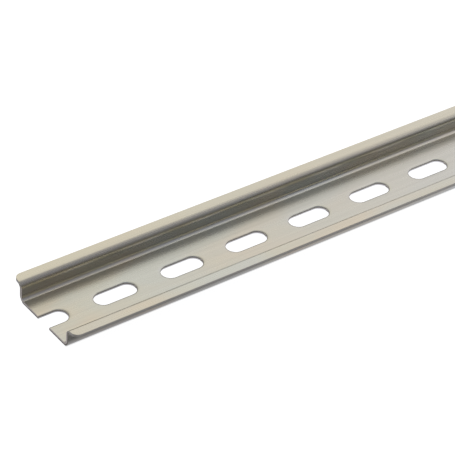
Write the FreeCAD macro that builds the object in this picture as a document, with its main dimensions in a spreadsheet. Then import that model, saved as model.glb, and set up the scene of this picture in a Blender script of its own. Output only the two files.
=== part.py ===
"""Slotted top hat mounting rail, 35 mm wide and 7.2 mm deep, rolled from 1 mm plated steel strip.

The rail is one piece of strip: a flat floor, two upright webs and two lips that turn outwards.
Mounting slots are punched along the floor at an even pitch, and the stock is cut to length through
a slot, so that each end starts with an open half slot. The lips' corners are rounded at the cuts.

Frame: X runs along the rail, Y across it and Z up, with the open side of the channel upwards.
The origin is the middle of the underside of the floor. Lengths are in millimetres.
"""
import FreeCAD, Part
import math
import os

import Sketcher

# Driving dimensions: alias, value, what it measures
SIZES = [
    ("rail_length", 300.0, "cut length of the stock"),
    ("rail_width", 35.0, "over the two lips"),
    ("rail_height", 7.2, "underside of the floor to the top of the lips"),
    ("channel_width", 27.0, "over the outer faces of the webs"),
    ("sheet_thickness", 1.0, "strip thickness"),
    ("bend_radius", 1.5, "inside radius of each of the four bends"),
    ("lip_corner_radius", 2.4, "rounding of the lips' corners at the cut ends"),
    ("slot_length", 15.0, "end to end"),
    ("slot_width", 6.2, "clears an M6 screw"),
    ("slot_pitch", 25.0, "centre to centre along the rail"),
    ("cut_to_slot_centre", 0.95, "from the cut end to the centre of the slot that it goes through"),
    ("punch_roll_width", 0.4, "rolled-in edge of a punched slot, across the face"),
    ("punch_roll_depth", 0.2, "rolled-in edge of a punched slot, into the face"),
]


# How a sketch's constraints number the points of a curve, and the sketch's own axes.
# The sketch's origin is the start of its horizontal axis.
START, END, CENTRE = range(1, 4)
HORIZONTAL_AXIS, VERTICAL_AXIS = range(-1, -3, -1)
NEAR = 1e-4


def make_sheet(doc):
    """The spreadsheet with one named cell for each driving dimension."""
    sheet = doc.addObject("Spreadsheet::Sheet", "Sizes")
    for row, (alias, value, meaning) in enumerate(SIZES, start=1):
        sheet.set(f"A{row}", alias)
        sheet.set(f"B{row}", str(value))
        sheet.set(f"C{row}", meaning)
        sheet.setAlias(f"B{row}", alias)
    doc.recompute()
    return sheet


def origin_feature(body, role):
    """One of the body's own axes or planes, by its role."""
    return next(f for f in body.Origin.OriginFeatures if f.Role == role)


def add_sketch(body, name, plane_role):
    """An empty sketch on one of the body's origin planes."""
    sketch = body.newObject("Sketcher::SketchObject", name)
    sketch.AttachmentSupport = [(origin_feature(body, plane_role), "")]
    sketch.MapMode = "FlatFace"
    return sketch


def drive(sketch, name, expression, *constraint):
    """Adds a dimension to a sketch, names it and ties it to the sheet."""
    index = sketch.addConstraint(Sketcher.Constraint(*constraint))
    sketch.renameConstraint(index, name)
    sketch.setExpression(f"Constraints.{name}", expression)


def draw_section(body, sheet):
    """The section with square corners, as one closed outline of twelve lines, symmetric about the Z axis."""
    lip = sheet.rail_width / 2
    web = sheet.channel_width / 2
    inner = web - sheet.sheet_thickness
    floor = sheet.sheet_thickness
    top = sheet.rail_height
    under = top - sheet.sheet_thickness

    right = [(web, 0), (web, under), (lip, under), (lip, top), (inner, top), (inner, floor)]
    left = [(-across, up) for across, up in reversed(right)]
    corners = [FreeCAD.Vector(across, up, 0) for across, up in right + left]

    sketch = add_sketch(body, "section", "YZ_Plane")
    count = len(corners)
    for i in range(count):
        sketch.addGeometry(Part.LineSegment(corners[i], corners[(i + 1) % count]), False)
    for i in range(count):
        sketch.addConstraint(Sketcher.Constraint("Coincident", i, END, (i + 1) % count, START))

    # Lines in the order that they were drawn
    web_out, lip_under, lip_edge, lip_top, web_in, floor_top = range(6)
    web_in_left, lip_top_left, lip_edge_left, lip_under_left, web_out_left, underside = range(6, 12)
    for line in (web_out, lip_edge, web_in, web_in_left, lip_edge_left, web_out_left):
        sketch.addConstraint(Sketcher.Constraint("Vertical", line))
    for line in (lip_under, lip_top, lip_top_left, lip_under_left):
        sketch.addConstraint(Sketcher.Constraint("Horizontal", line))
    for line in (underside, floor_top):
        sketch.addConstraint(Sketcher.Constraint("Symmetric", line, START, line, END, VERTICAL_AXIS))
    sketch.addConstraint(
        Sketcher.Constraint("Symmetric", lip_edge, END, lip_edge_left, START, VERTICAL_AXIS)
    )
    sketch.addConstraint(Sketcher.Constraint("Horizontal", lip_edge, START, lip_edge_left, END))
    sketch.addConstraint(Sketcher.Constraint("PointOnObject", web_out, START, HORIZONTAL_AXIS))

    drive(sketch, "width", "Sizes.rail_width",
          "DistanceX", lip_edge_left, START, lip_edge, END, 2 * lip)
    drive(sketch, "channel", "Sizes.channel_width",
          "DistanceX", underside, START, underside, END, 2 * web)
    drive(sketch, "height", "Sizes.rail_height",
          "DistanceY", web_out, START, lip_edge, END, top)
    drive(sketch, "floor_thickness", "Sizes.sheet_thickness",
          "DistanceY", web_out, START, floor_top, START, floor)
    drive(sketch, "lip_thickness", "Sizes.sheet_thickness",
          "DistanceY", lip_edge, START, lip_edge, END, top - under)
    drive(sketch, "web_thickness", "Sizes.sheet_thickness",
          "DistanceX", floor_top, START, web_out, START, web - inner)
    return sketch


def edges_along(shape, across, up):
    """Names of the straight edges along X at the given height, on both sides of the rail."""
    found = []
    for number, edge in enumerate(shape.Edges, start=1):
        points = [v.Point for v in edge.Vertexes]
        along = abs(points[0].x - points[-1].x) > NEAR
        if along and all(abs(abs(p.y) - across) < NEAR and abs(p.z - up) < NEAR for p in points):
            found.append(f"Edge{number}")
    return found


def corner_edges(shape, across, half_length):
    """Names of the upright edges at the lips' four corners."""
    found = []
    for number, edge in enumerate(shape.Edges, start=1):
        points = [v.Point for v in edge.Vertexes]
        upright = abs(points[0].z - points[-1].z) > NEAR
        if upright and all(
            abs(abs(p.y) - across) < NEAR and abs(abs(p.x) - half_length) < NEAR for p in points
        ):
            found.append(f"Edge{number}")
    return found


def round_edges(doc, body, base, name, edges, radius):
    """A fillet on the named edges of a feature, with its radius tied to the sheet."""
    fillet = body.newObject("PartDesign::Fillet", name)
    fillet.Base = (base, edges)
    fillet.setExpression("Radius", radius)
    doc.recompute()
    return fillet


def draw_slot(body, sheet, name, margin, height):
    """A slot outline centred on the first slot, wider all round by margin, on a plane at the given height.

    margin and height are expressions of the sheet's cells.
    """
    sketch = add_sketch(body, name, "XY_Plane")
    radius = sheet.slot_width / 2
    reach = (sheet.slot_length - sheet.slot_width) / 2
    up = FreeCAD.Vector(0, 0, 1)
    quarter = math.pi / 2
    ends = [
        Part.ArcOfCircle(Part.Circle(FreeCAD.Vector(reach, 0, 0), up, radius), -quarter, quarter),
        Part.ArcOfCircle(
            Part.Circle(FreeCAD.Vector(-reach, 0, 0), up, radius), quarter, 3 * quarter
        ),
    ]
    sides = [
        Part.LineSegment(FreeCAD.Vector(reach, radius, 0), FreeCAD.Vector(-reach, radius, 0)),
        Part.LineSegment(FreeCAD.Vector(-reach, -radius, 0), FreeCAD.Vector(reach, -radius, 0)),
    ]
    right, far, left, near = range(4)
    for shape in (ends[0], sides[0], ends[1], sides[1]):
        sketch.addGeometry(shape, False)
    for first, second in ((right, far), (far, left), (left, near), (near, right)):
        sketch.addConstraint(Sketcher.Constraint("Tangent", first, END, second, START))
    sketch.addConstraint(Sketcher.Constraint("Equal", right, left))
    sketch.addConstraint(
        Sketcher.Constraint("Symmetric", left, CENTRE, right, CENTRE, HORIZONTAL_AXIS, START)
    )
    sketch.addConstraint(Sketcher.Constraint("PointOnObject", right, CENTRE, HORIZONTAL_AXIS))
    drive(sketch, "end_radius", f"Sizes.slot_width / 2 + {margin}", "Radius", right, radius)
    drive(sketch, "centres", "Sizes.slot_length - Sizes.slot_width",
          "DistanceX", left, CENTRE, right, CENTRE, 2 * reach)
    sketch.setExpression("AttachmentOffset.Base.x", "Sizes.cut_to_slot_centre - Sizes.rail_length / 2")
    sketch.setExpression("AttachmentOffset.Base.z", height)
    return sketch


def punch_slots(doc, body, sheet):
    """One slot with its rolled-in upper edge, repeated along the rail to beyond its far end."""
    outline = draw_slot(body, sheet, "slot_outline", "0", "0")
    slot = body.newObject("PartDesign::Pocket", "slot")
    slot.Profile = outline
    slot.Reversed = True
    slot.setExpression("Length", "2 * Sizes.sheet_thickness")
    doc.recompute()

    outer = draw_slot(
        body, sheet, "punch_roll_outline", "Sizes.punch_roll_width", "Sizes.sheet_thickness"
    )
    roll = body.newObject("PartDesign::Pocket", "punch_roll")
    roll.Profile = outer
    roll.setExpression("Length", "Sizes.punch_roll_depth")
    roll.setExpression("TaperAngle", "-atan(Sizes.punch_roll_width / Sizes.punch_roll_depth)")
    doc.recompute()

    row = body.newObject("PartDesign::LinearPattern", "slot_row")
    row.Originals = [slot, roll]
    row.Direction = (origin_feature(body, "X_Axis"), [""])
    row.Mode = "Spacing"
    row.setExpression("Offset", "Sizes.slot_pitch")
    row.setExpression(
        "Occurrences",
        "1 + floor((Sizes.rail_length - Sizes.cut_to_slot_centre + Sizes.slot_length / 2)"
        " / Sizes.slot_pitch)",
    )
    body.Tip = row
    doc.recompute()
    return row


def make_rail(doc, sheet):
    """The rail: extruded section, four bends, rounded lip corners and the row of punched slots."""
    body = doc.addObject("PartDesign::Body", "Rail")
    body.Label = "rail"

    strip = body.newObject("PartDesign::Pad", "strip")
    strip.Profile = draw_section(body, sheet)
    strip.SideType = "Symmetric"
    strip.setExpression("Length", "Sizes.rail_length")
    doc.recompute()

    web = sheet.channel_width / 2
    inner = web - sheet.sheet_thickness
    top = sheet.rail_height
    under = top - sheet.sheet_thickness

    hollow = [
        *edges_along(strip.Shape, inner, sheet.sheet_thickness),
        *edges_along(strip.Shape, web, under),
    ]
    bends_in = round_edges(doc, body, strip, "bends_inside", hollow, "Sizes.bend_radius")
    crest = [
        *edges_along(bends_in.Shape, web, 0),
        *edges_along(bends_in.Shape, inner, top),
    ]
    bends_out = round_edges(
        doc, body, bends_in, "bends_outside", crest, "Sizes.bend_radius + Sizes.sheet_thickness"
    )
    corners = corner_edges(bends_out.Shape, sheet.rail_width / 2, sheet.rail_length / 2)
    round_edges(doc, body, bends_out, "lip_corners", corners, "Sizes.lip_corner_radius")
    punch_slots(doc, body, sheet)
    return body


def check(doc, pieces):
    """Stops if a feature failed or a piece isn't one valid closed solid."""
    for item in doc.Objects:
        bad = [state for state in item.State if state in ("Invalid", "Error")]
        if bad:
            raise RuntimeError(f"{item.Label} did not compute: {bad}")
    for piece in pieces:
        shape = piece.Shape
        if shape.isNull() or not shape.isValid() or len(shape.Solids) != 1:
            raise RuntimeError(f"{piece.Label} is not one valid solid")


def main():
    doc = FreeCAD.newDocument("TopHatRail")
    sheet = make_sheet(doc)
    pieces = [make_rail(doc, sheet)]
    doc.recompute()
    check(doc, pieces)
    os.makedirs("parts", exist_ok=True)
    for piece in pieces:
        piece.Shape.exportStep(f"parts/{piece.Label}.step")
        box = piece.Shape.BoundBox
        print(piece.Label, "volume", round(piece.Shape.Volume, 2), "faces", len(piece.Shape.Faces),
              "size", round(box.XLength, 3), round(box.YLength, 3), round(box.ZLength, 3))


main()
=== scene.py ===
"""A slotted top hat mounting rail of plated steel strip, dressed for rendering.

The rail is one closed skin. Its webs, lips and bends are a section carried along the length, and
its floor is a row of cells, each with the rolled-in edge and the wall of one punched slot. The
surfaces are formulas on grids of two parameters, in metres, in the same frame as the solid model.
"""

import math

import bmesh
import bpy
import numpy as np
from bpy.props import FloatProperty, FloatVectorProperty, PointerProperty
from mathutils import Matrix, Vector


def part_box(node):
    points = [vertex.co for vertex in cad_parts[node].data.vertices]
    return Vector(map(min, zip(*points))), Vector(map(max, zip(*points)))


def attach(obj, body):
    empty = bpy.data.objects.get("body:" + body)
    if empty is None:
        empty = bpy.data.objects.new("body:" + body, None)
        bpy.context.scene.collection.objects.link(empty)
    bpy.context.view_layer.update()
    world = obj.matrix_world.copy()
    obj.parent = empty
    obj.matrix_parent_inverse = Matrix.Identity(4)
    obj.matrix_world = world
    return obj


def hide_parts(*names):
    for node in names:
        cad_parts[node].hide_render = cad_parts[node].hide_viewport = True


bl_info = {
    "name": "Slotted Top Hat Rail",
    "version": (1, 0, 0),
    "blender": (4, 5, 0),
    "location": "View3D > Sidebar > Rail",
    "description": "Builds the skin and the finish of a slotted top hat rail, and a studio for it",
    "category": "Object",
}

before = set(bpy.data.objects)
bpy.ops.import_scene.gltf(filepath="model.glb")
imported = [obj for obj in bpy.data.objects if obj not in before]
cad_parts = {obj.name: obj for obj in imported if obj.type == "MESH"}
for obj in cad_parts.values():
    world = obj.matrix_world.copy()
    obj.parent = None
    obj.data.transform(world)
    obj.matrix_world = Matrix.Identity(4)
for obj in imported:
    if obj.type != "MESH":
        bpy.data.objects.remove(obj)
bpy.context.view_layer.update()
RAIL_LOW, RAIL_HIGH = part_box("rail")

MM = 0.001
WHITE = (1.0, 1.0, 1.0, 1.0)


class RailSizes(bpy.types.PropertyGroup):
    """Sizes of the strip, its bends and its punched slots."""

    sheet_thickness: FloatProperty(
        name="Sheet thickness", description="Thickness of the strip", default=1.0 * MM, unit="LENGTH"
    )
    channel_width: FloatProperty(
        name="Channel width", description="Over the outer faces of the webs", default=27.0 * MM,
        unit="LENGTH",
    )
    bend_radius: FloatProperty(
        name="Bend radius", description="Inside radius of each bend", default=1.5 * MM, unit="LENGTH"
    )
    lip_corner_radius: FloatProperty(
        name="Lip corner radius", description="Rounding of the lips' corners at the cut ends",
        default=2.4 * MM, unit="LENGTH",
    )
    edge_radius: FloatProperty(
        name="Edge radius", description="Rounding along the lips' outer edges", default=0.15 * MM,
        unit="LENGTH",
    )
    slot_length: FloatProperty(
        name="Slot length", description="End to end", default=15.0 * MM, unit="LENGTH"
    )
    slot_width: FloatProperty(
        name="Slot width", description="Side to side", default=6.2 * MM, unit="LENGTH"
    )
    slot_pitch: FloatProperty(
        name="Slot pitch", description="Centre to centre along the rail", default=25.0 * MM,
        unit="LENGTH",
    )
    cut_to_slot_centre: FloatProperty(
        name="Cut to slot centre",
        description="From the cut end to the centre of the slot that it goes through",
        default=0.95 * MM, unit="LENGTH",
    )
    roll_width: FloatProperty(
        name="Roll width", description="Rolled-in edge of a slot, across the floor's face",
        default=1.1 * MM, unit="LENGTH",
    )
    roll_depth: FloatProperty(
        name="Roll depth", description="Rolled-in edge of a slot, into the floor's face",
        default=0.3 * MM, unit="LENGTH",
    )


class RailFinish(bpy.types.PropertyGroup):
    """Colours and gloss of the plated faces and of the cut ones."""

    plate_colour: FloatVectorProperty(
        name="Plate colour", description="Zinc under a thin yellow passivation", subtype="COLOR",
        default=(0.615, 0.59, 0.475), size=3, min=0.0, max=1.0,
    )
    warm_tint: FloatVectorProperty(
        name="Warm tint", description="Patches where the passivation is thicker", subtype="COLOR",
        default=(0.65, 0.585, 0.455), size=3, min=0.0, max=1.0,
    )
    cool_tint: FloatVectorProperty(
        name="Cool tint", description="Patches where the passivation is thinner", subtype="COLOR",
        default=(0.595, 0.595, 0.515), size=3, min=0.0, max=1.0,
    )
    lip_tint: FloatVectorProperty(
        name="Lip tint", description="The far lip, whose passivation is the yellowest", subtype="COLOR",
        default=(0.655, 0.605, 0.46), size=3, min=0.0, max=1.0,
    )
    floor_tint: FloatVectorProperty(
        name="Floor tint", description="The channel's floor away from the cut, the least yellow part",
        subtype="COLOR", default=(0.605, 0.59, 0.52), size=3, min=0.0, max=1.0,
    )
    plate_roughness: FloatProperty(
        name="Plate roughness", description="Satin gloss of the plated strip", default=0.28,
        min=0.0, max=1.0, subtype="FACTOR",
    )
    cut_colour: FloatVectorProperty(
        name="Cut colour", description="Sheared and slit faces", subtype="COLOR",
        default=(0.31, 0.285, 0.22), size=3, min=0.0, max=1.0,
    )
    sheared_colour: FloatVectorProperty(
        name="Sheared colour", description="Inner, brighter part of the cut ends", subtype="COLOR",
        default=(0.72, 0.66, 0.59), size=3, min=0.0, max=1.0,
    )
    slit_colour: FloatVectorProperty(
        name="Slit colour", description="Slit edges of the lips, brighter than the sheared faces",
        subtype="COLOR", default=(0.50, 0.48, 0.415), size=3, min=0.0, max=1.0,
    )
    # Torn part of a punched wall: real torn steel, made brighter as a painted reflection of the floor
    # under the slot
    torn_and_sheen_colour: FloatVectorProperty(
        name="Torn colour", description="Lower, brighter part of a punched wall", subtype="COLOR",
        default=(0.80, 0.78, 0.73), size=3, min=0.0, max=1.0,
    )
    # Height of the torn band, which also carries the painted reflection of the floor under the slot
    torn_and_sheen_height: FloatProperty(
        name="Torn height", description="How far up a punched wall the torn part reaches",
        default=0.4 * MM, unit="LENGTH",
    )
    cut_roughness: FloatProperty(
        name="Cut roughness", description="Gloss of the sheared and punched faces", default=0.5,
        min=0.0, max=1.0, subtype="FACTOR",
    )


class StudioSettings(bpy.types.PropertyGroup):
    """The camera, the floor and the light."""

    camera_azimuth: FloatProperty(
        name="Camera azimuth", description="Turn of the view from straight across the rail",
        default=math.radians(37.936), subtype="ANGLE",
    )
    camera_elevation: FloatProperty(
        name="Camera elevation", description="How far the camera looks down",
        default=math.radians(36.671), subtype="ANGLE",
    )
    camera_roll: FloatProperty(
        name="Camera roll", description="Turn of the picture about the view direction",
        default=math.radians(-3.515), subtype="ANGLE",
    )
    camera_distance: FloatProperty(
        name="Camera distance", description="Depth of the aimed point in front of the camera",
        default=751.2 * MM, unit="LENGTH",
    )
    aim_from_cut: FloatProperty(
        name="Aimed point", description="Distance of the aimed point from the cut end",
        default=85.0 * MM, unit="LENGTH",
    )
    floor_colour: FloatVectorProperty(
        name="Floor colour", description="What the floor scatters of the light", subtype="COLOR",
        default=(0.4, 0.4, 0.4), size=3, min=0.0, max=1.0,
    )
    floor_lift: FloatProperty(
        name="Floor lift", description="Added white of the floor as the camera sees it", default=0.92,
        min=0.0,
    )
    floor_glow: FloatProperty(
        name="Floor glow", description="Added light of the floor at the cut end as the metal mirrors it",
        default=0.30, min=0.0,
    )
    floor_glow_far: FloatProperty(
        name="Floor glow far", description="The same where the rail leaves the picture", default=0.60,
        min=0.0,
    )
    glow_colour: FloatVectorProperty(
        name="Glow colour", description="Colour of the floor as the metal mirrors it", subtype="COLOR",
        default=(1.0, 1.0, 1.14), size=3, min=0.0, max=2.0,
    )
    sky_strength: FloatProperty(
        name="Sky strength", description="Wide soft light above and behind", default=1.0, min=0.0
    )
    room_strength: FloatProperty(
        name="Room strength", description="What the room sends from above", default=0.23, min=0.0
    )
    low_strength: FloatProperty(
        name="Low strength", description="What the room sends from the side", default=0.10, min=0.0
    )
    plain_strength: FloatProperty(
        name="Plain strength", description="Even light from beyond the cut end and from below",
        default=0.38, min=0.0,
    )
    room_colour: FloatVectorProperty(
        name="Room colour", description="Colour of the room's light from above", subtype="COLOR",
        default=(0.93, 1.0, 1.34), size=3, min=0.0, max=2.0,
    )
    low_colour: FloatVectorProperty(
        name="Low colour", description="Colour of the room's light from the side", subtype="COLOR",
        default=(1.08, 1.0, 0.92), size=3, min=0.0, max=2.0,
    )
    far_colour: FloatVectorProperty(
        name="Far colour", description="Colour of the soft light towards the rail's far end",
        subtype="COLOR", default=(0.99, 0.98, 1.05), size=3, min=0.0, max=2.0,
    )
    sky_edge: FloatProperty(
        name="Sky edge", default=0.955,
        description="Where the soft light ends: the direction's back and up parts added",
    )
    sky_fade: FloatProperty(
        name="Sky fade", description="Width of the soft light's edge", default=0.12, min=0.0
    )
    sky_lean: FloatProperty(
        name="Sky lean", description="How fast that edge comes forward along the rail", default=6.0
    )


# Points of the grids closer than this are one point
WELD = 1e-6
# Steps of the arcs in the section
INNER_STEPS, OUTER_STEPS, EDGE_STEPS = 8, 12, 3
# Distance of a flat's second row of points from its border
NEAR = 0.3 * MM
# Points round half a slot: along a side that starts at a cut, along one that doesn't, and on the round
# end from the side to the cell's corner and from corner to corner
START_POINTS, SIDE_POINTS, OUTER_POINTS, MIDDLE_POINTS = 7, 4, 5, 13
# Rows of the floor: shares of the way from a cell's border to the rolled edge, points on that edge, and
# heights of the wall below it as shares of the thickness
FACE_SHARES = np.array([0.0, 0.03, 0.5, 0.95])
ROLL_POINTS = 6
WALL_SHARES = np.array([0.4, 0.12, 0.0])
# Keeps a ray's distance finite where it runs along a side of the cell
TINY = 1e-9
# Stations that agree to this many decimals are one station
STATION_DECIMALS = 8


def new_mesh_object(name, parts):
    """Joins grids of points into one object, welds their shared borders and closes the open ends.

    Each part is an array of points of shape (rows, columns, 3); its faces are the grid's cells.
    """
    points, faces, start = [], [], 0
    for grid in parts:
        rows, columns = grid.shape[:2]
        index = start + np.arange(rows * columns).reshape(rows, columns)
        cells = np.stack([index[:-1, :-1], index[1:, :-1], index[1:, 1:], index[:-1, 1:]], axis=-1)
        points.append(grid.reshape(-1, 3))
        faces.append(cells.reshape(-1, 4))
        start += rows * columns
    mesh = bpy.data.meshes.new(name)
    mesh.from_pydata(np.concatenate(points), [], np.concatenate(faces))

    work = bmesh.new()
    work.from_mesh(mesh)
    bmesh.ops.remove_doubles(work, verts=work.verts, dist=WELD)
    bmesh.ops.dissolve_degenerate(work, edges=work.edges, dist=WELD)
    bmesh.ops.holes_fill(work, edges=work.edges, sides=0)
    bmesh.ops.recalc_face_normals(work, faces=work.faces)
    open_edges = sum(not edge.is_manifold for edge in work.edges)
    work.to_mesh(mesh)
    work.free()
    if open_edges:
        raise RuntimeError(f"{name} has {open_edges} open edges")
    piece = bpy.data.objects.new(name, mesh)
    bpy.context.scene.collection.objects.link(piece)
    return piece


def arc(centre, radius, start, end, steps):
    """Points on an arc from one angle to another, in degrees: its centre plus radius cosine and sine."""
    angle = np.radians(np.linspace(start, end, steps + 1))
    return np.stack([centre[0] + radius * np.cos(angle), centre[1] + radius * np.sin(angle)], axis=1)


def straight(start, end):
    """A straight run of four points, the inner two close to its ends, so that shading stays flat."""
    start, end = np.array(start), np.array(end)
    step = (end - start) / np.linalg.norm(end - start) * NEAR
    return np.array([start, start + step, end - step, end])


def web_and_lip_outline(sizes):
    """Outline of one web and its lip, from the floor's upper face round to its underside.

    Arcs about two centres, one for each bend, joined by straight runs. Columns are Y and Z.
    """
    thick, inside = sizes.sheet_thickness, sizes.bend_radius
    outside = inside + thick
    edge = sizes.edge_radius
    top, lip = RAIL_HIGH.z, RAIL_HIGH.y
    web = sizes.channel_width / 2
    low = (web - outside, outside)
    high = (web + inside, top - outside)
    return np.concatenate([
        arc(low, inside, -90, 0, INNER_STEPS),
        straight((web - thick, low[1]), (web - thick, high[1])),
        arc(high, outside, 180, 90, OUTER_STEPS),
        straight((high[0], top), (lip - edge, top)),
        arc((lip - edge, top - edge), edge, 90, 0, EDGE_STEPS),
        arc((lip - edge, top - thick + edge), edge, 0, -90, EDGE_STEPS),
        straight((lip - edge, top - thick), (high[0], top - thick)),
        arc(high, inside, 90, 180, INNER_STEPS),
        straight((web, high[1]), (web, low[1])),
        arc(low, outside, 0, -90, OUTER_STEPS),
    ])


def lip_scale(sizes, stations):
    """How much of the lip's flat is left at each station along the rail.

    Near a cut the outer edge follows a quarter circle of the corner radius in plan.
    """
    flat = RAIL_HIGH.y - sizes.channel_width / 2 - sizes.bend_radius
    radius = sizes.lip_corner_radius
    to_end = np.minimum(stations - RAIL_LOW.x, RAIL_HIGH.x - stations)
    short = np.clip(radius - to_end, 0.0, radius)
    return (flat - radius + np.sqrt(radius**2 - short**2)) / flat


def web_and_lip(sizes, stations, side):
    """One web with its lip: the outline carried along the stations, its lip drawn in at the ends."""
    outline = web_and_lip_outline(sizes)
    flat_start = sizes.channel_width / 2 + sizes.bend_radius
    beyond = np.maximum(outline[:, 0] - flat_start, 0.0)
    across = outline[:, 0] - beyond + np.outer(lip_scale(sizes, stations), beyond)
    grid = np.empty((len(stations), len(outline), 3))
    grid[..., 0] = stations[:, None]
    grid[..., 1] = side * across
    grid[..., 2] = outline[:, 1]
    return grid


def half_slot_path(sizes, start):
    """The path round half of a slot, from its far side over the round end to its near side.

    start is where the half begins along X, measured from the slot's centre. Each station has the
    place of its own centre along X and an angle: the straight sides keep the angle at a right angle
    and move the centre, and the round end keeps the centre and turns the angle.
    """
    reach = (sizes.slot_length - sizes.slot_width) / 2
    corner = math.atan2(floor_half_width(sizes), sizes.slot_pitch / 2 - reach)
    if start:
        quarter = np.radians(np.linspace(0, 90, START_POINTS))
        rounded = start + sizes.lip_corner_radius * (1 - np.cos(quarter))
        places = np.append(rounded, reach)
    else:
        places = np.linspace(0, reach, SIDE_POINTS)
    turn = np.concatenate([
        np.linspace(math.pi / 2, corner, OUTER_POINTS),
        np.linspace(corner, -corner, MIDDLE_POINTS)[1:-1],
        np.linspace(-corner, -math.pi / 2, OUTER_POINTS),
    ])
    centre = np.concatenate([places, np.full(len(turn) - 2, reach), places[::-1]])
    angle = np.concatenate([
        np.full(len(places), math.pi / 2),
        turn[1:-1],
        np.full(len(places), -math.pi / 2),
    ])
    return centre, angle


def floor_half_width(sizes):
    """From the rail's middle to where the flat of the floor meets the bends."""
    return sizes.channel_width / 2 - sizes.bend_radius - sizes.sheet_thickness


def cell_border(sizes, centre, angle):
    """Where a ray from each station's centre at its angle leaves the cell's rectangle.

    The distance is the smaller of half width over sine and half length over cosine.
    """
    reach = (sizes.slot_length - sizes.slot_width) / 2
    sine, cosine = np.sin(angle), np.cos(angle)
    to_side = floor_half_width(sizes) / np.maximum(np.abs(sine), TINY)
    to_next = (sizes.slot_pitch / 2 - reach) / np.maximum(cosine, TINY)
    distance = np.minimum(to_side, to_next)
    return np.stack([centre + distance * cosine, distance * sine], axis=1)


def floor_profile(sizes):
    """The profile carried round a slot: the floor's face, the rolled edge, the wall and the underside.

    Each station has a share of the way from the cell's border to the slot's rim, the rim's
    distance outside the hole, and a height. The rolled edge is a quarter of an ellipse.
    """
    thick, width, depth = sizes.sheet_thickness, sizes.roll_width, sizes.roll_depth
    turn = np.radians(np.linspace(0, 90, ROLL_POINTS))
    rolled = width * (1 - np.sin(turn))
    sunk = thick - depth + depth * np.cos(turn)
    wall = WALL_SHARES * thick
    face = np.ones(len(FACE_SHARES))
    share = np.concatenate([FACE_SHARES, np.ones(len(turn) + len(wall)), FACE_SHARES[::-1]])
    outside = np.concatenate([width * face, rolled, np.zeros(len(wall) + len(face))])
    height = np.concatenate([thick * face, sunk, wall, 0 * face])
    return share, outside, height


def half_cell(sizes, slot_centre, direction, start=0.0):
    """The floor about half of a slot: the profile carried round the half slot's path.

    A point is the cell's border and the rim mixed by the profile's share. direction is 1 for the
    half beyond the slot's centre and -1 for the half before it.
    """
    centre, angle = half_slot_path(sizes, start)
    share, outside, height = floor_profile(sizes)
    border = cell_border(sizes, centre, angle)
    radius = sizes.slot_width / 2 + outside
    grid = np.empty((len(centre), len(share), 3))
    rim_x = centre[:, None] + np.cos(angle)[:, None] * radius
    rim_y = np.sin(angle)[:, None] * radius
    grid[..., 0] = slot_centre + direction * (border[:, :1] * (1 - share) + rim_x * share)
    grid[..., 1] = border[:, 1:] * (1 - share) + rim_y * share
    grid[..., 2] = height
    return grid


def floor_cells(sizes):
    """Both halves of every slot's cell, with only the inner halves at the two cuts."""
    first = RAIL_LOW.x + sizes.cut_to_slot_centre
    length = RAIL_HIGH.x - RAIL_LOW.x
    whole = round(length / sizes.slot_pitch) - 1
    cells = [half_cell(sizes, first, 1, -sizes.cut_to_slot_centre)]
    for number in range(1, whole + 1):
        centre = first + number * sizes.slot_pitch
        cells.append(half_cell(sizes, centre, -1))
        cells.append(half_cell(sizes, centre, 1))
    last = first + (whole + 1) * sizes.slot_pitch
    cells.append(half_cell(sizes, last, -1, last - RAIL_HIGH.x))
    return cells


def make_stations(cells):
    """Every place along X where a floor cell's border has a point on the far bend."""
    side = max(cell[:, 0, 1].max() for cell in cells)
    places = np.concatenate([cell[np.isclose(cell[:, 0, 1], side), 0, 0] for cell in cells])
    return np.unique(np.round(places, STATION_DECIMALS))


def new_material(name):
    """A node material and its tree, which has no nodes yet."""
    material = bpy.data.materials.new(name)
    material.use_nodes = True
    tree = material.node_tree
    tree.nodes.clear()
    return material, tree


def feed(tree, socket, value):
    """Links another socket to an input, or gives the input a number or a colour."""
    if isinstance(value, bpy.types.NodeSocket):
        tree.links.new(value, socket)
    else:
        socket.default_value = value


def add_node(tree, kind, settings=None, **inputs):
    """Adds a node, sets its properties, and feeds its inputs by name."""
    node = tree.nodes.new(kind)
    for key, value in (settings or {}).items():
        setattr(node, key, value)
    for key, value in inputs.items():
        feed(tree, node.inputs[key.replace("_", " ")], value)
    return node


def opaque(colour):
    """A colour of three parts with the fourth that sockets ask for, at full."""
    return (*colour, 1.0)


def drawn_along(tree, squeeze, scale, detail):
    """Noise on the piece's own coordinates, drawn out along the rail where squeeze is under 1."""
    place = add_node(tree, "ShaderNodeTexCoord").outputs["Object"]
    spread = add_node(tree, "ShaderNodeMapping", Vector=place, Scale=(squeeze, 1.0, 1.0))
    return add_node(
        tree, "ShaderNodeTexNoise", Vector=spread.outputs["Vector"], Scale=scale, Detail=detail
    ).outputs["Fac"]


def remap(tree, value, low, high, to_low, to_high, curve="LINEAR"):
    """A value moved from one range to another, held inside the second."""
    return add_node(
        tree, "ShaderNodeMapRange", {"interpolation_type": curve}, Value=value,
        From_Min=low, From_Max=high, To_Min=to_low, To_Max=to_high,
    ).outputs["Result"]


# Places of the colour mix's factor, its two colours and its result among its sockets
MIX_FACTOR, MIX_FIRST, MIX_SECOND, MIX_RESULT = 0, 6, 7, 2


def mixed(tree, factor, first, second):
    """Two colours mixed by a factor."""
    node = add_node(tree, "ShaderNodeMix", {"data_type": "RGBA"})
    feed(tree, node.inputs[MIX_FACTOR], factor)
    feed(tree, node.inputs[MIX_FIRST], first)
    feed(tree, node.inputs[MIX_SECOND], second)
    return node.outputs[MIX_RESULT]


def maths(tree, operation, first, second=0.0):
    """A sum, product or other operation on two values, or on the first alone."""
    node = add_node(tree, "ShaderNodeMath", {"operation": operation})
    feed(tree, node.inputs[0], first)
    feed(tree, node.inputs[1], second)
    return node.outputs[0]


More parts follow.
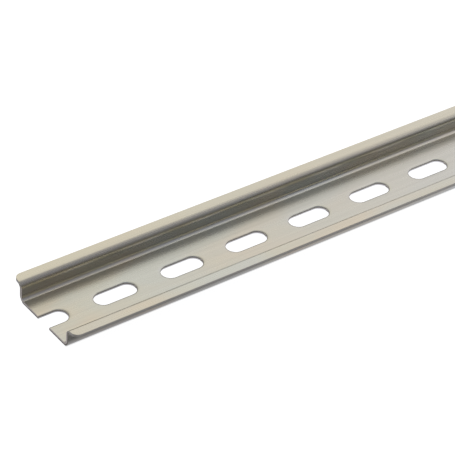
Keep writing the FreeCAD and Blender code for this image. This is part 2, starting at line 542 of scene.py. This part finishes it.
def joined(tree, kind, first, second, **inputs):
    """Two shaders added or mixed by a node whose last two inputs take them."""
    node = add_node(tree, kind, **inputs)
    feed(tree, node.inputs[-2], first.outputs[0])
    feed(tree, node.inputs[-1], second.outputs[0])
    return node


def own_place(tree):
    """The point's place on its own object, as a node with an output for each axis."""
    place = add_node(tree, "ShaderNodeTexCoord").outputs["Object"]
    return add_node(tree, "ShaderNodeSeparateXYZ", Vector=place)


def finish_metal(tree, **inputs):
    """The metal shader and the output, with the given inputs."""
    shader = add_node(tree, "ShaderNodeBsdfPrincipled", Metallic=1.0, **inputs)
    add_node(tree, "ShaderNodeOutputMaterial", Surface=shader.outputs["BSDF"])


# Noise: how far it is drawn out along the rail, its scale and its detail, and the range that is used
CLOUDS, CLOUD_RANGE = (0.35, 90.0, 4.0), (0.4, 0.6)
PATCHES, PATCH_RANGE = (0.5, 45.0, 2.0), (0.45, 0.62)
STREAKS, STREAK_RANGE = (0.012, 1600.0, 2.0), (0.3, 0.7)
GRAIN, GRAIN_RANGE = (1.0, 2500.0, 3.0), (0.35, 0.65)
# The streaks' colour, its share, and what they take from and add to the roughness
STREAK_COLOUR = (0.4, 0.38, 0.33)
STREAK_SHARE = 0.12
SMOOTHER, ROUGHER = 0.02, 0.03
# Bump: its depth, and its strength on the plate and on cut faces
BUMP_DEPTH = 0.05 * MM
STREAK_BUMP, GRAIN_BUMP = 0.015, 0.2
# The far lip's tint begins across the rail, the floor's lies between the bends and grows along it
LIP_TINT_RANGE = (12.6 * MM, 13.4 * MM)
LIP_TINT_SHARE = 0.8
FLOOR_TINT_EDGE = (11.0 * MM, 12.0 * MM)
FLOOR_TINT_SHARE = 0.9
FLOOR_TINT_RANGE = (-120.0 * MM, 20.0 * MM)


def plated_strip(finish):
    """Zinc plate with a thin yellow passivation: clouded tints and fine streaks along the strip."""
    material, tree = new_material("plated_strip")
    clouds = drawn_along(tree, *CLOUDS)
    patches = drawn_along(tree, *PATCHES)
    streaks = drawn_along(tree, *STREAKS)
    warm = remap(tree, clouds, *CLOUD_RANGE, 0.0, 1.0)
    tint = mixed(tree, warm, opaque(finish.plate_colour), opaque(finish.warm_tint))
    cool = remap(tree, patches, *PATCH_RANGE, 0.0, 1.0)
    tint = mixed(tree, cool, tint, opaque(finish.cool_tint))
    parts = own_place(tree)
    on_lip = remap(tree, parts.outputs["Y"], *LIP_TINT_RANGE, 0.0, LIP_TINT_SHARE)
    tint = mixed(tree, on_lip, tint, opaque(finish.lip_tint))
    from_middle = maths(tree, "ABSOLUTE", parts.outputs["Y"])
    on_floor = remap(tree, from_middle, *FLOOR_TINT_EDGE, FLOOR_TINT_SHARE, 0.0)
    away = remap(tree, parts.outputs["X"], *FLOOR_TINT_RANGE, 0.0, 1.0)
    tint = mixed(tree, maths(tree, "MULTIPLY", on_floor, away), tint, opaque(finish.floor_tint))
    streak = remap(tree, streaks, *STREAK_RANGE, 0.0, STREAK_SHARE)
    streaked = mixed(tree, streak, tint, opaque(STREAK_COLOUR))
    rough = finish.plate_roughness
    roughness = remap(tree, streaks, *STREAK_RANGE, rough - SMOOTHER, rough + ROUGHER)
    bump = add_node(tree, "ShaderNodeBump", Height=streaks, Strength=STREAK_BUMP, Distance=BUMP_DEPTH)
    finish_metal(tree, Base_Color=streaked, Roughness=roughness, Normal=bump.outputs["Normal"])
    return material


# Height where the lips' slit edges begin, depth under the outer side where a cut end turns bright,
# and how soft the borders between the tones are
SLIT_FROM = 6.1 * MM
SHEARED_FROM = 0.4 * MM
TONE_EDGE = 0.05 * MM
# The grain's darker tone, as a share of the cut colour
DARK_GRAIN = 0.6


def depth_in_sheet(tree, parts, sizes):
    """How deep a point of a cut end lies under the section's outer side, in floor, bend and web.

    It is the outer radius less the distance from the bend's centre, counted only beyond that
    centre across and only below it, so that it becomes Z in the floor and a width in the web.
    """
    outside = sizes.bend_radius + sizes.sheet_thickness
    from_middle = maths(tree, "ABSOLUTE", parts.outputs["Y"])
    beyond = maths(tree, "MAXIMUM", maths(tree, "SUBTRACT", from_middle, floor_half_width(sizes)))
    below = maths(tree, "MAXIMUM", maths(tree, "SUBTRACT", outside, parts.outputs["Z"]))
    squares = maths(tree, "ADD", maths(tree, "POWER", beyond, 2.0), maths(tree, "POWER", below, 2.0))
    return maths(tree, "SUBTRACT", outside, maths(tree, "SQRT", squares))


def cut_steel(name, finish, sizes, at_end):
    """Sheared steel, darker and rougher than the plate, brighter where torn or slit with rollers.

    A slot's wall is bright in its lower, torn part, whose colour also carries a painted reflection
    of the floor under the slot. A cut end is bright in its inner part.
    """
    material, tree = new_material(name)
    grain = drawn_along(tree, *GRAIN)
    dark = [DARK_GRAIN * part for part in finish.cut_colour]
    darker = remap(tree, grain, *GRAIN_RANGE, 0.0, 1.0)
    colour = mixed(tree, darker, opaque(finish.cut_colour), opaque(dark))
    parts = own_place(tree)
    height = parts.outputs["Z"]
    if at_end:
        depth = depth_in_sheet(tree, parts, sizes)
        bright = remap(tree, depth, SHEARED_FROM - TONE_EDGE, SHEARED_FROM + TONE_EDGE, 0.0, 1.0)
        colour = mixed(tree, bright, colour, opaque(finish.sheared_colour))
    else:
        # The torn band is real, and its bright colour is partly a painted reflection of the floor under
        # the slot
        torn = finish.torn_and_sheen_height
        bright = remap(tree, height, torn - TONE_EDGE, torn + TONE_EDGE, 1.0, 0.0)
        colour = mixed(tree, bright, colour, opaque(finish.torn_and_sheen_colour))
    on_lip = remap(tree, height, SLIT_FROM, SLIT_FROM + TONE_EDGE, 0.0, 1.0)
    colour = mixed(tree, on_lip, colour, opaque(finish.slit_colour))
    bump = add_node(tree, "ShaderNodeBump", Height=grain, Strength=GRAIN_BUMP, Distance=BUMP_DEPTH)
    normal = bump.outputs["Normal"]
    finish_metal(tree, Base_Color=colour, Roughness=finish.cut_roughness, Normal=normal)
    return material


# A wall's and a slit edge's normal points up or down by less than this, a cut end's along by more
WALL_TILT, SLIT_TILT, END_TILT = 0.3, 0.6, 0.99
# Slack for the slot walls' distance from the rail's middle
WALL_SLACK = 0.01 * MM
# Places of the three materials on the piece
PLATED, PUNCHED, SHEARED = range(3)


def mark_cut_faces(piece, sizes):
    """Gives the second material to slot walls and the lips' outer edges, the third to the cut ends."""
    mesh = piece.data
    count = len(mesh.polygons)
    normals = np.empty(3 * count)
    centres = np.empty(3 * count)
    mesh.polygons.foreach_get("normal", normals)
    mesh.polygons.foreach_get("center", centres)
    normals, centres = normals.reshape(-1, 3), centres.reshape(-1, 3)
    from_middle = np.abs(centres[:, 1])
    in_floor = from_middle < sizes.slot_width / 2 + WALL_SLACK
    wall = in_floor & (np.abs(normals[:, 2]) < WALL_TILT)
    end = np.abs(normals[:, 0]) > END_TILT
    on_lip = centres[:, 2] > RAIL_HIGH.z - sizes.sheet_thickness
    at_edge = from_middle > RAIL_HIGH.y - sizes.lip_corner_radius
    slit = on_lip & at_edge & (np.abs(normals[:, 2]) < SLIT_TILT)
    chosen = np.where(end, SHEARED, np.where(wall | slit, PUNCHED, PLATED))
    mesh.polygons.foreach_set("material_index", chosen.astype(np.int32))


# Faces that meet at more than this have a sharp edge
SHARP_ANGLE = math.radians(35)


class RAIL_OT_make_rail(bpy.types.Operator):
    """Build the rail's skin with its slots, and give it its plated finish"""

    bl_idname = "rail.make_rail"
    bl_label = "Make rail"

    def execute(self, context):
        sizes, finish = context.scene.rail_sizes, context.scene.rail_finish
        cells = floor_cells(sizes)
        stations = make_stations(cells)
        sides = [web_and_lip(sizes, stations, side) for side in (1, -1)]
        piece = new_mesh_object("top_hat_rail", sides + cells)
        piece.data.materials.append(plated_strip(finish))
        piece.data.materials.append(cut_steel("punched_steel", finish, sizes, at_end=False))
        piece.data.materials.append(cut_steel("sheared_steel", finish, sizes, at_end=True))
        mark_cut_faces(piece, sizes)
        piece.data.shade_smooth()
        piece.data.set_sharp_from_angle(angle=SHARP_ANGLE)
        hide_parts("rail")
        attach(piece, "root")
        return {"FINISHED"}


# The floor's reach each way, and its level just under the rail
FLOOR_REACH = 4.0
FLOOR_LEVEL = -0.02 * MM
# The mirrored glow grows along the rail. Across it, the glow fades before the near lip's foot and
# comes back in front of it.
GLOW_RANGE = (-150.0 * MM, 20.0 * MM)
FOOT_RANGE = (-16.5 * MM, -14.8 * MM)
FOOT_SHARE = 0.1
FRONT_RANGE = (-25.0 * MM, -20.0 * MM)
FRONT_SHARE = 0.9
# From the rail's middle across: where the gap under a lower bend ends, where the floor that shows
# through the slots ends, and the share of white left between the two
GAP_RANGE = (12.15 * MM, 12.6 * MM)
OPEN_RANGE = (5.0 * MM, 7.0 * MM)
GAP_SHARE = 0.3


def shade_in_gap(tree, parts):
    """Share of white left on the floor: less in the narrow gaps under the two lower bends.

    The gap is a band on either side of the rail's middle, and ends where the rail does.
    """
    from_middle = maths(tree, "ABSOLUTE", parts.outputs["Y"])
    outside = remap(tree, from_middle, *GAP_RANGE, GAP_SHARE, 1.0)
    inside = remap(tree, from_middle, *OPEN_RANGE, 1.0, GAP_SHARE)
    beyond = maths(tree, "GREATER_THAN", maths(tree, "ABSOLUTE", parts.outputs["X"]), RAIL_HIGH.x)
    return maths(tree, "MAXIMUM", maths(tree, "MAXIMUM", outside, inside), beyond)


def studio_floor(settings):
    """A pale floor just under the rail, wide enough to fill every view, and clear from below."""
    corners = [(x, y, FLOOR_LEVEL) for x, y in (
        (-FLOOR_REACH, -FLOOR_REACH), (FLOOR_REACH, -FLOOR_REACH),
        (FLOOR_REACH, FLOOR_REACH), (-FLOOR_REACH, FLOOR_REACH),
    )]
    mesh = bpy.data.meshes.new("floor")
    mesh.from_pydata(corners, [], [(0, 1, 2, 3)])
    floor = bpy.data.objects.new("floor", mesh)
    bpy.context.scene.collection.objects.link(floor)
    material, tree = new_material("studio_floor")
    paper = add_node(tree, "ShaderNodeBsdfDiffuse", Color=opaque(settings.floor_colour))
    path = add_node(tree, "ShaderNodeLightPath")
    mirrored = maths(tree, "MAXIMUM", path.outputs["Is Glossy Ray"], path.outputs["Is Transmission Ray"])
    parts = own_place(tree)
    spread = remap(
        tree, parts.outputs["X"], *GLOW_RANGE, settings.floor_glow, settings.floor_glow_far
    )
    foot = remap(tree, parts.outputs["Y"], *FOOT_RANGE, FOOT_SHARE, 1.0)
    front = remap(tree, parts.outputs["Y"], *FRONT_RANGE, FRONT_SHARE, FOOT_SHARE)
    share = maths(tree, "MAXIMUM", foot, front)
    glow = maths(tree, "MULTIPLY", mirrored, maths(tree, "MULTIPLY", spread, share))
    seen = maths(tree, "MULTIPLY", path.outputs["Is Camera Ray"], settings.floor_lift)
    white = maths(tree, "MULTIPLY", seen, shade_in_gap(tree, parts))
    added = maths(tree, "ADD", glow, white)
    tone = mixed(tree, path.outputs["Is Camera Ray"], opaque(settings.glow_colour), WHITE)
    lift = add_node(tree, "ShaderNodeEmission", Color=tone, Strength=added)
    both = joined(tree, "ShaderNodeAddShader", paper, lift)
    clear = add_node(tree, "ShaderNodeBsdfTransparent")
    below = add_node(tree, "ShaderNodeNewGeometry").outputs["Backfacing"]
    one_sided = joined(tree, "ShaderNodeMixShader", both, clear, Fac=below)
    add_node(tree, "ShaderNodeOutputMaterial", Surface=one_sided.outputs[0])
    mesh.materials.append(material)


# Parts of a direction. Along the rail: where the soft light's edge leans, where its colour turns to
# the far one, and where the plain light from beyond the cut end fades. Upwards: between the low and
# the high light of the room, and where the plain light from below fades.
LEAN_FROM, LEAN_TO = 0.44, 0.65
FAR_RANGE = (0.42, 0.57)
CUT_SIDE_FADE = (-0.35, 0.35)
ROOM_RANGE = (0.2, 0.6)
BELOW_FADE = (-0.1, 0.0)


def studio_sky(settings):
    """The world: a wide soft light above and behind the rail in a dim room, and white to the eye.

    A direction's back and up parts are added. The soft light begins where that sum passes the sky
    edge, and its edge comes forward with the direction's part along the rail. From beyond the cut
    end and from below comes an even plain light instead.
    """
    world = bpy.data.worlds.new("studio")
    world.use_nodes = True
    bpy.context.scene.world = world
    tree = world.node_tree
    tree.nodes.clear()
    direction = add_node(tree, "ShaderNodeTexCoord").outputs["Generated"]
    parts = add_node(tree, "ShaderNodeSeparateXYZ", Vector=direction)
    raised = maths(tree, "ADD", parts.outputs["Y"], parts.outputs["Z"])
    lean = remap(tree, parts.outputs["X"], LEAN_FROM, LEAN_TO,
                 0.0, settings.sky_lean * (LEAN_TO - LEAN_FROM))
    toward = maths(tree, "ADD", raised, lean)
    edge = settings.sky_edge
    soft = remap(tree, toward, edge, edge + settings.sky_fade, 0.0, 1.0, "SMOOTHSTEP")
    lit = maths(tree, "MULTIPLY", soft, settings.sky_strength)
    room = remap(tree, parts.outputs["Z"], *ROOM_RANGE, settings.low_strength, settings.room_strength)
    dim = maths(tree, "MULTIPLY", maths(tree, "SUBTRACT", 1.0, soft), room)
    high = remap(tree, parts.outputs["Z"], *ROOM_RANGE, 0.0, 1.0)
    room_colour = mixed(tree, high, opaque(settings.low_colour), opaque(settings.room_colour))
    side = remap(tree, parts.outputs["X"], *CUT_SIDE_FADE, 0.0, 1.0)
    shown = maths(tree, "MULTIPLY", side, remap(tree, parts.outputs["Z"], *BELOW_FADE, 0.0, 1.0))
    plain = maths(tree, "MULTIPLY", maths(tree, "SUBTRACT", 1.0, shown), settings.plain_strength)
    main_light = maths(tree, "MULTIPLY", maths(tree, "ADD", lit, dim), shown)
    strength = maths(tree, "ADD", main_light, plain)
    cooler = remap(tree, parts.outputs["X"], *FAR_RANGE, 0.0, 1.0)
    sky = mixed(tree, cooler, WHITE, opaque(settings.far_colour))
    colour = mixed(tree, soft, room_colour, sky)
    light = add_node(tree, "ShaderNodeBackground", Color=colour, Strength=strength)
    white = add_node(tree, "ShaderNodeBackground", Color=WHITE, Strength=1.0)
    seen = add_node(tree, "ShaderNodeLightPath").outputs["Is Camera Ray"]
    chosen = joined(tree, "ShaderNodeMixShader", light, white, Fac=seen)
    add_node(tree, "ShaderNodeOutputWorld", Surface=chosen.outputs[0])


# The photograph's width, the focal length, and where the aimed point lies in it, all in pixels
PHOTO_PIXELS = 455
FOCAL_PIXELS = 2348.9
AIM_PIXEL = (269.06, 234.33)
# The width that the lens refers to, in millimetres, and how far the camera sees, in metres
SENSOR_WIDTH = 36.0
SIGHT = 20.0


def studio_camera(settings):
    """The camera of the photograph, from its angles, its focal length and the pixel of one known point.

    The view direction follows azimuth and elevation, the right and down directions are turned by
    the roll, and the camera stands back along them so that the aimed point falls on its pixel.
    """
    azimuth, elevation = settings.camera_azimuth, settings.camera_elevation
    ahead = Vector((
        math.sin(azimuth) * math.cos(elevation),
        math.cos(azimuth) * math.cos(elevation),
        -math.sin(elevation),
    ))
    level = Vector((math.cos(azimuth), -math.sin(azimuth), 0.0))
    below = ahead.cross(level)
    cosine, sine = math.cos(settings.camera_roll), math.sin(settings.camera_roll)
    right = cosine * level + sine * below
    down = cosine * below - sine * level

    depth = settings.camera_distance
    off_right = (AIM_PIXEL[0] - PHOTO_PIXELS / 2) / FOCAL_PIXELS * depth
    off_down = (AIM_PIXEL[1] - PHOTO_PIXELS / 2) / FOCAL_PIXELS * depth
    aim = Vector((RAIL_LOW.x + settings.aim_from_cut, 0.0, 0.0))
    place = aim - depth * ahead - off_right * right - off_down * down

    data = bpy.data.cameras.new("camera")
    data.sensor_fit = "HORIZONTAL"
    data.sensor_width = SENSOR_WIDTH
    data.lens = FOCAL_PIXELS / PHOTO_PIXELS * SENSOR_WIDTH
    data.clip_end = SIGHT
    camera = bpy.data.objects.new("camera", data)
    bpy.context.scene.collection.objects.link(camera)
    turn = Matrix((right, -down, -ahead)).transposed().to_4x4()
    camera.matrix_world = Matrix.Translation(place) @ turn
    bpy.context.scene.camera = camera


class RAIL_OT_make_stage(bpy.types.Operator):
    """Build the floor, the soft light and the camera"""

    bl_idname = "rail.make_stage"
    bl_label = "Make stage"

    def execute(self, context):
        settings = context.scene.rail_studio
        studio_floor(settings)
        studio_sky(settings)
        studio_camera(settings)
        context.scene.view_settings.view_transform = "Standard"
        return {"FINISHED"}


class RAIL_PT_sidebar(bpy.types.Panel):
    """Lists the rail's sizes and finish, the studio, and the buttons that build them"""

    bl_idname = "RAIL_PT_sidebar"
    bl_label = "Slotted rail"
    bl_space_type = "VIEW_3D"
    bl_region_type = "UI"
    bl_category = "Rail"

    def draw(self, context):
        for group in (context.scene.rail_sizes, context.scene.rail_finish, context.scene.rail_studio):
            box = self.layout.box()
            for name in group.bl_rna.properties.keys():
                if name not in ("rna_type", "name"):
                    box.prop(group, name)
        self.layout.operator("rail.make_rail")
        self.layout.operator("rail.make_stage")


CLASSES = (
    RailSizes, RailFinish, StudioSettings, RAIL_OT_make_rail, RAIL_OT_make_stage, RAIL_PT_sidebar,
)


def register():
    """Adds the classes, and a group of each kind to every scene."""
    for each in CLASSES:
        bpy.utils.register_class(each)
    bpy.types.Scene.rail_sizes = PointerProperty(type=RailSizes)
    bpy.types.Scene.rail_finish = PointerProperty(type=RailFinish)
    bpy.types.Scene.rail_studio = PointerProperty(type=StudioSettings)


def unregister():
    """Takes the groups and the classes away again."""
    del bpy.types.Scene.rail_studio
    del bpy.types.Scene.rail_finish
    del bpy.types.Scene.rail_sizes
    for each in reversed(CLASSES):
        bpy.utils.unregister_class(each)


def main():
    """Builds the rail and its stage."""
    register()
    bpy.ops.rail.make_rail()
    bpy.ops.rail.make_stage()


if __name__ == "__main__":
    main()
